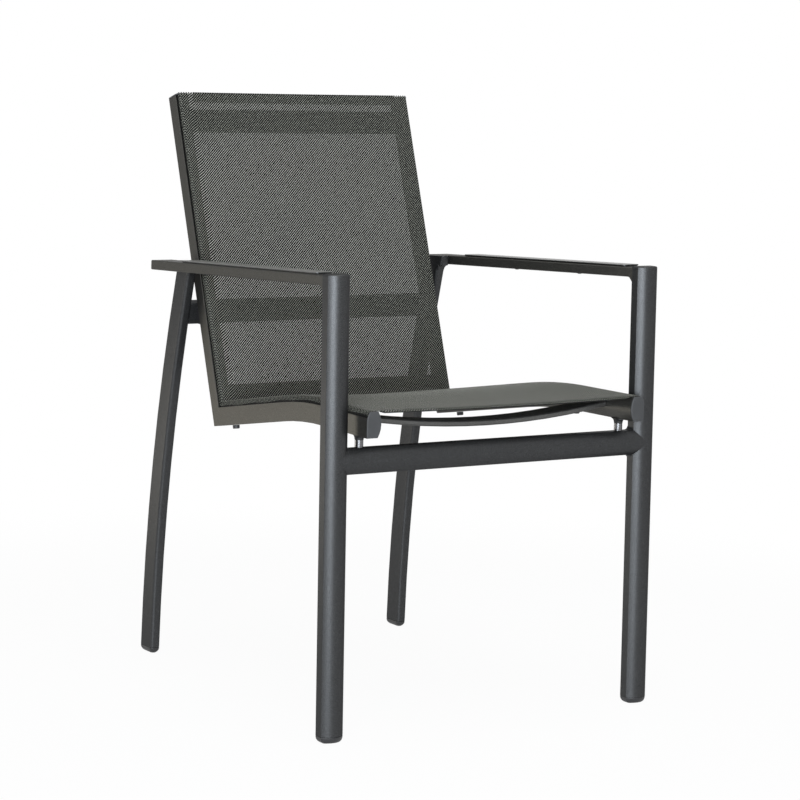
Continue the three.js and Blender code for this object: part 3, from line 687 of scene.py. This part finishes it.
leg_low, leg_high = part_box("front_leg_right")
stretcher_low, stretcher_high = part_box("front_stretcher")
stretcher_reach = (leg_low.x + leg_high.x) / 2 - stretcher_high.x
WELDED_ENDS = {
    "front_leg": [(Z, 1, LEG_REACH)],
    "armrest": [(Y, -1, ARM_REACH)],
    "front_stretcher": [(X, way, stretcher_reach) for way in BOTH_WAYS],
    "rear_crossbar": [(X, way, CROSSBAR_REACH) for way in BOTH_WAYS],
    "top_back_bar": [(X, way, BACK_BAR_REACH) for way in BOTH_WAYS],
    "low_back_bar": [(X, way, BACK_BAR_REACH) for way in BOTH_WAYS],
}


def stretch_end(piece, axis, way, amount):
    """Moves the outermost points of a piece further out."""
    places = [way * vertex.co[axis] for vertex in piece.data.vertices]
    outermost = max(places)
    alone(piece)
    bpy.ops.object.mode_set(mode="EDIT")
    bpy.ops.mesh.select_all(action="DESELECT")
    bpy.ops.object.mode_set(mode="OBJECT")
    for vertex, place in zip(piece.data.vertices, places):
        vertex.select = place > outermost - END_DEPTH
    bpy.ops.object.mode_set(mode="EDIT")
    shift = Vector((0, 0, 0))
    shift[axis] = way * amount
    bpy.ops.transform.translate(value=shift)
    bpy.ops.object.mode_set(mode="OBJECT")


print("stretcher reaches", round(stretcher_reach, 4), "m further each way")

# %% [markdown]
# A sawn bar has a crisp edge of half a millimetre at most, and a bent oval leg a slightly rounder one.
# Each kind of piece therefore has its own bevel width. Left and right pieces could be made one by
# one, but only their names differ, so one loop makes both.

# %% Straight and bent metal
SIDES = ("left", "right")
METAL_PAIR_EDGES = {
    "front_leg": 0.0004,
    "leg_top_cap": 0.0004,
    "armrest": 0.0005,
    "rear_leg": 0.0006,
    "side_rail": 0.0003,
}
METAL_BAR_EDGES = {
    "front_stretcher": 0.0004,
    "rear_crossbar": 0.0005,
    "top_back_bar": 0.0005,
    "low_back_bar": 0.0005,
    "bowed_seat_bar": 0.0005,
}
# Painted light: these parts take the lighter copies of the coat.
PAINTED_LIGHT_COATS = {"armrest": painted_light_bar_coat, "side_rail": painted_light_bar_coat, "bowed_seat_bar": painted_light_bow_coat}


def dress(node, name, material, slot, width, ends=()):
    piece = joined_copy(node, name)
    for axis, way, amount in ends:
        stretch_end(piece, axis, way, amount)
    round_edges(piece, width)
    finish_piece(piece, material, slot, node)


for kind, width in METAL_PAIR_EDGES.items():
    for side in SIDES:
        dress(f"{kind}_{side}", f"coated_{kind}_{side}", PAINTED_LIGHT_COATS.get(kind, coat), "frame", width,
              WELDED_ENDS.get(kind, ()))
for kind, width in METAL_BAR_EDGES.items():
    dress(kind, f"coated_{kind}", PAINTED_LIGHT_COATS.get(kind, coat), "frame", width, WELDED_ENDS.get(kind, ()))
print("coated pieces:", 2 * len(METAL_PAIR_EDGES) + len(METAL_BAR_EDGES))

# %% [markdown]
# The stretcher is welded between the legs, and the powder coat flows over the welds, so each corner is
# a small hollow curve. A bevel could round it if leg and stretcher were one mesh, but they stay two
# pieces. So each fillet is a small block with a round bar cut out of its outer edge. Its front end
# shrinks into the corner, because there both tubes curve away.

# %% Weld fillets
WELD_ROUND = 0.0045
WELD_BURIED = 0.001
WELD_FLAT = 0.012
WELD_TAPER = 0.006
WELD_TIP_SHARE = 0.1
ROUND_SIDES = 48
FACES_FRONT = 0.9


def hollow_block(name, corner, across, upward, back):
    """A block in the corner, with a round bar cut out of its outer edge."""
    middle = (WELD_ROUND - WELD_BURIED) / 2
    size = WELD_ROUND + WELD_BURIED
    bpy.ops.object.select_all(action="DESELECT")
    bpy.ops.mesh.primitive_cube_add(
        size=1, location=(corner.x + across * middle, back - WELD_FLAT / 2, corner.z + upward * middle),
        scale=(size, WELD_FLAT, size))
    block = bpy.context.object
    block.name = name
    bpy.ops.object.transform_apply(location=True, rotation=True, scale=True)
    bpy.ops.mesh.primitive_cylinder_add(
        vertices=ROUND_SIDES, radius=WELD_ROUND, depth=WELD_FLAT * 2, rotation=(math.pi / 2, 0, 0),
        location=(corner.x + across * WELD_ROUND, back - WELD_FLAT / 2, corner.z + upward * WELD_ROUND))
    bar = bpy.context.object
    alone(block)
    cut = block.modifiers.new("round_bar", "BOOLEAN")
    cut.operation = "DIFFERENCE"
    cut.object = bar
    bpy.ops.object.modifier_apply(modifier=cut.name)
    bpy.data.objects.remove(bar)
    return block


def weld_fillet(name, corner, across, upward, back):
    """A hollow corner fill beside a leg. Across and upward are 1 or -1, away from the corner."""
    block = hollow_block(name, corner, across, upward, back)
    for face in block.data.polygons:
        face.select = face.normal.y < -FACES_FRONT
    bpy.ops.object.mode_set(mode="EDIT")
    bpy.ops.mesh.select_mode(type="FACE")
    bpy.ops.mesh.extrude_region_move(TRANSFORM_OT_translate={"value": (0, -WELD_TAPER, 0)})
    bpy.ops.transform.resize(
        value=(WELD_TIP_SHARE, 1, WELD_TIP_SHARE),
        center_override=(corner.x - across * WELD_BURIED, back - WELD_FLAT, corner.z - upward * WELD_BURIED))
    bpy.ops.mesh.select_mode(type="VERT")
    bpy.ops.object.mode_set(mode="OBJECT")
    bpy.ops.object.shade_smooth_by_angle(angle=SMOOTH_ANGLE)
    return finish_piece(block, coat, "frame")


welds = [
    weld_fillet(
        f"stretcher_weld_{side}_{place}", Vector((way * leg_low.x, 0, height)), -way, upward,
        stretcher_high.y)
    for side, way in zip(SIDES, BOTH_WAYS)
    for place, height, upward in (("top", stretcher_high.z, 1), ("bottom", stretcher_low.z, -1))
]
print("weld fillets:", len(welds), "of", WELD_ROUND, "m")

# %% [markdown]
# Where a spacer pin meets its rail, a collar flares out like the foot of a wine glass. A ring around
# the pin is extruded upwards in small steps, and each step is scaled so that the side follows a
# quarter circle. The flare is longer along the rail than across it, because the rail is narrow. A
# spun profile would be quicker to make, but it would be as wide as it is long.

# %% Flared collars
FLARE_STEPS = 8
FLARE_NARROW = 0.0064
FLARE_ACROSS = 0.0088
FLARE_ALONG = 0.0130
FLARE_FOOT = 0.0007
FLARE_BURIED = 0.0003


def flare_up(x, y, bottom, height):
    """Extrudes what is selected upwards in steps that widen along a quarter circle."""
    across, along, level = FLARE_NARROW, FLARE_NARROW, bottom
    for i in range(1, FLARE_STEPS + 1):
        angle = math.pi / 2 * i / FLARE_STEPS
        next_across = FLARE_NARROW + (FLARE_ACROSS - FLARE_NARROW) * (1 - math.cos(angle))
        next_along = FLARE_NARROW + (FLARE_ALONG - FLARE_NARROW) * (1 - math.cos(angle))
        next_level = bottom + height * math.sin(angle)
        bpy.ops.mesh.extrude_region_move(TRANSFORM_OT_translate={"value": (0, 0, next_level - level)})
        bpy.ops.transform.resize(
            value=(next_across / across, next_along / along, 1), center_override=(x, y, next_level))
        across, along, level = next_across, next_along, next_level


def flared_collar(side):
    low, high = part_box(f"spacer_collar_{side}")
    x, y = (low.x + high.x) / 2, (low.y + high.y) / 2
    bpy.ops.object.select_all(action="DESELECT")
    bpy.ops.mesh.primitive_circle_add(vertices=ROUND_SIDES, radius=FLARE_NARROW, location=(x, y, low.z))
    piece = bpy.context.object
    piece.name = f"flared_collar_{side}"
    bpy.ops.object.transform_apply(location=True, rotation=True, scale=True)
    bpy.ops.object.mode_set(mode="EDIT")
    bpy.ops.mesh.select_all(action="SELECT")
    bpy.ops.mesh.edge_face_add()
    flare_up(x, y, low.z, high.z + FLARE_BURIED - FLARE_FOOT - low.z)
    bpy.ops.mesh.extrude_region_move(TRANSFORM_OT_translate={"value": (0, 0, FLARE_FOOT)})
    bpy.ops.mesh.select_all(action="SELECT")
    bpy.ops.mesh.normals_make_consistent(inside=False)
    bpy.ops.object.mode_set(mode="OBJECT")
    bpy.ops.object.shade_smooth_by_angle(angle=SMOOTH_ANGLE)
    return finish_piece(piece, coat, "frame", f"spacer_collar_{side}")


for side in SIDES:
    collar = flared_collar(side)
    print(collar.name, len(collar.data.polygons), "faces")

# %% [markdown]
# The plastic pieces and the fasteners come in pairs and keep the engineering model's shape, so one
# loop dresses them too. The glides and wedges have the softest edges, the caps, pins and screws have
# finer ones, and the thin cord has the finest.

# %% Plastic pieces and fasteners
SMALL_PIECES = {
    "arm_slat": (slat_plastic, "slat", 0.0003),
    "front_glide": (black_plastic, "black_plastic", 0.0005),
    "rear_glide": (black_plastic, "black_plastic", 0.0005),
    "back_wedge": (black_plastic, "black_plastic", 0.0006),
    "rail_front_cap": (cap_plastic, "cap_plastic", 0.0003),
    "rail_top_cap": (cap_plastic, "cap_plastic", 0.0003),
    "bumper_front": (black_plastic, "black_plastic", 0.0004),
    "bumper_rear": (black_plastic, "black_plastic", 0.0004),
    "sling_cord": (cord_plastic, "hem_cord", 0.0002),
    "spacer_pin": (steel, "fastener", 0.0003),
    "seat_stud": (steel, "fastener", 0.0003),
    "slat_screw_front": (steel, "fastener", 0.0003),
    "slat_screw_rear": (steel, "fastener", 0.0003),
    "back_bolt": (steel, "fastener", 0.0004),
}

for kind, (material, slot, width) in SMALL_PIECES.items():
    for side in SIDES:
        dress(f"{kind}_{side}", f"fine_{kind}_{side}", material, slot, width)
print("plastic pieces and fasteners:", 2 * len(SMALL_PIECES))

# %% [markdown]
# ## The sling
# The real sling is one long piece of mesh. Each long edge has a hem with a cord in it, which sits in
# the slot of a side rail, so the cloth comes out of the slot, turns over the rail's round nose and
# spans to the other rail. It hangs a few millimetres between them, and it rounds the bend between
# seat and back in a soft curve. A cloth simulation could find that form, but the cloth is pulled
# tight and its form is known, so it is built row by row from the rails' own path. That path runs
# level from the front, sinks in a wide arc and a straight slope, and turns up at the bend.

# %% The rails' path
RAIL_WIDTH = 0.023
RAIL_DEPTH = 0.0368
BACK_RAIL_DEPTH = 0.0275
BACK_DEPTH_SHARE = BACK_RAIL_DEPTH / RAIL_DEPTH
SEAT_SLOPE = math.radians(9.8)
SEAT_BLEND = 0.7
BACK_LEAN = math.radians(18.8)
BACK_LENGTH = 0.515
BEND_Y = 0.14963

front_cap_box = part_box("rail_front_cap_right")
top_cap_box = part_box("rail_top_cap_right")
rail_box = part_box("side_rail_right")
RAIL_FRONT_Y = rail_box[0].y
SEAT_LEVEL = front_cap_box[0].z
BEND_Z = rail_box[0].z
FRONT_SPREAD = front_cap_box[1].x - RAIL_WIDTH / 2
BACK_SPREAD = top_cap_box[1].x - RAIL_WIDTH / 2
KNEE_Y = BEND_Y - (SEAT_LEVEL - BEND_Z) / math.tan(SEAT_SLOPE)
BLEND_REACH = SEAT_BLEND * math.tan(SEAT_SLOPE / 2)
SLOPE_START = KNEE_Y - BLEND_REACH
SLOPE_ARC = SEAT_BLEND * SEAT_SLOPE
SLOPE_LENGTH = (BEND_Y - KNEE_Y) / math.cos(SEAT_SLOPE) - BLEND_REACH
SEAT_LENGTH = SLOPE_START - RAIL_FRONT_Y + SLOPE_ARC + SLOPE_LENGTH


def seat_point(along):
    """Place and heading of the seat's underside line, at a distance from its front."""
    level = SLOPE_START - RAIL_FRONT_Y
    if along <= level:
        return RAIL_FRONT_Y + along, SEAT_LEVEL, 0.0
    angle = min((along - level) / SEAT_BLEND, SEAT_SLOPE)
    y = SLOPE_START + SEAT_BLEND * math.sin(angle)
    z = SEAT_LEVEL - SEAT_BLEND * (1 - math.cos(angle))
    rest = max(along - level - SLOPE_ARC, 0.0)
    return y + rest * math.cos(angle), z - rest * math.sin(angle), angle


def rail_spread(y):
    """From the chair's middle to the middle of a rail."""
    share = min(max((y - RAIL_FRONT_Y) / (BEND_Y - RAIL_FRONT_Y), 0), 1)
    return FRONT_SPREAD + (BACK_SPREAD - FRONT_SPREAD) * share


print("seat path", round(SEAT_LENGTH, 4), "m, knee at", round(KNEE_Y, 4))

# %% [markdown]
# Seen from the front, one row of the cloth starts hidden in the slot, climbs the rail's inner wall,
# turns over its round nose and crosses to the other side. Each point also has a number for how freely
# it hangs: 0 where it lies on a rail, and 1 halfway between the rails. The sag follows that number.

# %% The cloth's cross profile
FIT = 0.0003
CLOTH = 0.0004
CLOTH_LIFT = FIT + CLOTH / 2
SLOT_INNER = -0.0075
NOSE_ROUND = 0.004
CROWN = 0.0065
SLOT_HIDDEN = 0.0198
NOSE_STEPS = 6
SPAN_STEPS = 40


def cross_profile(spread, lift):
    """One row across the chair: x, height over the rails' underside, and how free it hangs, 0 to 1."""
    radius = NOSE_ROUND + lift
    side = [(SLOT_INNER - lift, SLOT_HIDDEN)]
    for i in range(NOSE_STEPS + 1):
        angle = math.pi - math.pi / 2 * i / NOSE_STEPS
        side.append((
            SLOT_INNER + NOSE_ROUND + radius * math.cos(angle),
            RAIL_DEPTH - NOSE_ROUND + radius * math.sin(angle),
        ))
    side.append((CROWN, RAIL_DEPTH + lift))
    row = [(s - spread, t, 0.0) for s, t in side]
    reach = spread - CROWN
    for i in range(1, SPAN_STEPS):
        share = 2 * i / SPAN_STEPS - 1
        row.append((share * reach, RAIL_DEPTH + lift, 1 - share * share))
    return row + [(spread - s, t, 0.0) for s, t in reversed(side)]


COLUMNS = len(cross_profile(FRONT_SPREAD, CLOTH_LIFT))
print("columns:", COLUMNS)

# %% [markdown]
# Seen from the side, one column of the cloth starts with the fold at the seat's front edge, follows
# the seat, rounds the bend and runs up the back. The rails turn sharply at the bend. Free cloth can't
# do that, so the curve is wider the more freely the column hangs.

# %% The bend and the sag
SEAT_SAG = 0.006
BACK_SAG = 0.005
END_SAG = 0.002
BEND_ROUND = 0.010
RAIL_BEND_ROUND = 0.002

seat_way = Vector((math.cos(SEAT_SLOPE), -math.sin(SEAT_SLOPE)))
seat_out = Vector((math.sin(SEAT_SLOPE), math.cos(SEAT_SLOPE)))
back_way = Vector((math.sin(BACK_LEAN), math.cos(BACK_LEAN)))
back_out = Vector((-math.cos(BACK_LEAN), math.sin(BACK_LEAN)))
bend = Vector((BEND_Y, BEND_Z))
BEND_TURN = math.acos(seat_way.dot(back_way))


def sag(share, deepest, free):
    """How deep the cloth hangs, at a share of the way along the seat or the back."""
    return free * (END_SAG + (deepest - END_SAG) * math.sin(math.pi * share))


def bend_corner(height):
    """Where the seat's and the back's lines meet, for cloth this high over the rails' underside."""
    seat_line = bend + seat_out * height
    gap = bend + back_out * height * BACK_DEPTH_SHARE - seat_line
    across = seat_way.cross(back_way)
    return seat_line + seat_way * (gap.cross(back_way) / across)


print("the bend turns", round(math.degrees(BEND_TURN), 1), "degrees")

# %% The cloth's way along the seat and up the back
FOLD_ROUND = 0.0017
FOLD_ONSET = 10
FOLD_SPACING = 0.00005
TOP_OVERHANG = 0.0035
FOLD_ROWS = 8
SEAT_ROWS = 34
BEND_ROWS = 12
BACK_ROWS = 34
BEND_START = FOLD_ROWS + SEAT_ROWS
ROWS = BEND_START + BEND_ROWS + 1 + BACK_ROWS


def fold_points(height, free):
    """The fold at the front edge, a half circle that shrinks to nothing on the rails."""
    fold = FOLD_ROUND * min(FOLD_ONSET * free, 1)
    for i in range(FOLD_ROWS):
        angle = math.pi * (i / FOLD_ROWS - 0.5)
        rise = height - sag(0, SEAT_SAG, free) - fold * (1 - math.sin(angle))
        yield Vector((RAIL_FRONT_Y + fold * (1 - math.cos(angle)) + FOLD_SPACING * i, SEAT_LEVEL + rise))


def seat_points(height, free, seat_end):
    for i in range(SEAT_ROWS):
        share = i / SEAT_ROWS
        y, z, angle = seat_point(FOLD_ROUND + share * (seat_end - FOLD_ROUND))
        rise = height - sag(share, SEAT_SAG, free)
        yield Vector((y + rise * math.sin(angle), z + rise * math.cos(angle)))


def bend_points(corner, radius, tangent):
    centre = corner - seat_way * tangent + seat_out * radius
    for i in range(BEND_ROWS + 1):
        angle = BEND_TURN * i / BEND_ROWS
        spoke = -seat_out * math.cos(angle) + seat_way * math.sin(angle)
        yield centre + spoke * radius


def back_points(height, free, back_start):
    for i in range(1, BACK_ROWS + 1):
        share = i / BACK_ROWS
        along = back_start + share * (BACK_LENGTH + TOP_OVERHANG - back_start)
        rise = (height - sag(share, BACK_SAG, free)) * BACK_DEPTH_SHARE
        yield bend + back_way * along + back_out * rise


def column_path(height, free):
    """A column's points in Y and Z, from the seat's front edge to the back's top edge."""
    corner = bend_corner(height - free * END_SAG)
    radius = RAIL_BEND_ROUND + (BEND_ROUND - RAIL_BEND_ROUND) * math.sqrt(free)
    tangent = radius * math.tan(BEND_TURN / 2)
    seat_end = (corner - bend).dot(seat_way) + SEAT_LENGTH - tangent
    back_start = (corner - bend).dot(back_way) + tangent
    return [
        *fold_points(height, free),
        *seat_points(height, free, seat_end),
        *bend_points(corner, radius, tangent),
        *back_points(height, free, back_start),
    ]


print("rows:", ROWS)

# %% [markdown]
# Rows and columns together give every point of the cloth. The lengths between neighbours, added up,
# give each point's place on the flat cloth. That place is its UV, so the weave keeps its scale over
# the nose, the bend and the sag, as real yarns do. A thin wall then gives the sheet its thickness.

# %% Points and places on the flat cloth
# How much narrower the painted side shade is up the back.
BACK_SHADE_NARROWING = 0.0032


def sheet_grid(lift):
    """Every point of the cloth as rows of columns, and its place on the flat cloth."""
    profile = cross_profile(BACK_SPREAD, lift)
    points = np.zeros((ROWS, COLUMNS, 3))
    for j, (_, height, free) in enumerate(profile):
        points[:, j, 1:] = column_path(height, free)
    for k in range(ROWS):
        spread = rail_spread(points[k, 0, 1] if k < BEND_START else BEND_Y)
        points[k, :, 0] = [x for x, _, _ in cross_profile(spread, lift)]
    across = np.linalg.norm(np.diff(points, axis=1), axis=2)
    flat_x = np.concatenate([np.zeros((ROWS, 1)), np.cumsum(across, axis=1)], axis=1)
    flat_x -= flat_x[:, -1:] / 2
    along = np.linalg.norm(np.diff(points, axis=0), axis=2)
    flat_y = np.concatenate([np.zeros((1, COLUMNS)), np.cumsum(along, axis=0)])
    return points, flat_x, flat_y


def edge_distances(flat_x, flat_y):
    """How far each point of the cloth is from its nearest side and from its nearest end."""
    half = np.abs(flat_x).max(axis=1, keepdims=True)
    # Up the back the painted shade along each side is narrower.
    shade_narrowing = np.interp(np.arange(ROWS), [BEND_START, BEND_START + BEND_ROWS], [0, BACK_SHADE_NARROWING])
    return half - np.abs(flat_x) + shade_narrowing[:, None], np.minimum(flat_y, flat_y[-1] - flat_y)


grid, cloth_x, cloth_y = sheet_grid(CLOTH_LIFT)
side_distance, end_distance = edge_distances(cloth_x, cloth_y)
print("grid:", grid.shape[0], "rows of", grid.shape[1], "points")

# %% The sheet


def sheet_piece(name, points, flat_x, flat_y, from_side, from_end, thickness):
    """A cloth mesh over a grid of points, with its two UV maps."""
    rows, columns = points.shape[:2]
    mesh = bpy.data.meshes.new(name)
    faces = [
        (k * columns + j, k * columns + j + 1, (k + 1) * columns + j + 1, (k + 1) * columns + j)
        for k in range(rows - 1) for j in range(columns - 1)
    ]
    mesh.from_pydata(points.reshape(-1, 3).tolist(), [], faces)
    cloth = mesh.uv_layers.new(name="cloth")
    edges = mesh.uv_layers.new(name="edges")
    for loop in mesh.loops:
        k, j = divmod(loop.vertex_index, columns)
        cloth.data[loop.index].uv = (flat_x[k, j], flat_y[k, j])
        edges.data[loop.index].uv = (from_side[k, j], from_end[k, j])
    piece = bpy.data.objects.new(name, mesh)
    bpy.context.collection.objects.link(piece)
    alone(piece)
    wall = piece.modifiers.new("thickness", "SOLIDIFY")
    wall.thickness = thickness
    wall.offset = 0
    bpy.ops.object.modifier_apply(modifier=wall.name)
    bpy.ops.object.shade_smooth_by_angle(angle=SMOOTH_ANGLE)
    return piece


sling = sheet_piece("woven_sling", grid, cloth_x, cloth_y, side_distance, end_distance, CLOTH)
finish_piece(sling, weave, "sling_fabric", "sling")

# %% [markdown]
# The cloth's front and top edges are folded under and welded flat, 16.5 mm wide. The sheet itself
# could be folded over, but so tight a fold makes layers that touch. So each fold is a second layer
# just behind the first. Its yarns don't line up with those in front, so hardly any light comes
# through there and the hem reads as a darker band.

# %% Folded hems
HEM = 0.0165
HEM_DROP = 0.0009
HEM_SPAN = 2
HEM_END = NOSE_STEPS + 3


def hem(name, edge, inside, drop):
    """A second layer behind the cloth, from its edge row towards a row further in."""
    layers = [rows[:, HEM_END:-HEM_END] for rows in sheet_grid(CLOTH_LIFT - drop)]
    flat_y = layers[2]
    share = HEM / float(np.abs(flat_y[inside] - flat_y[edge]).mean())
    points, x, y = (
        np.stack([rows[edge], rows[edge] + (rows[inside] - rows[edge]) * share]) for rows in layers)
    # Rows run from front to back, so that the faces point the same way as the sling's.
    if inside < edge:
        points, x, y = points[::-1], x[::-1], y[::-1]
    from_edges = np.full_like(x, HEM)
    piece = sheet_piece(
        name, points, x + WARP_PITCH / 2, y + WEFT_PITCH / 2, from_edges, from_edges, CLOTH / 2)
    return finish_piece(piece, black_weave, "sling_fabric")


front_hem = hem("sling_front_hem", FOLD_ROWS, FOLD_ROWS + HEM_SPAN, 2 * FOLD_ROUND)
top_hem = hem("sling_top_hem", ROWS - 1, ROWS - 1 - HEM_SPAN, HEM_DROP)
print("hems:", HEM, "m wide")
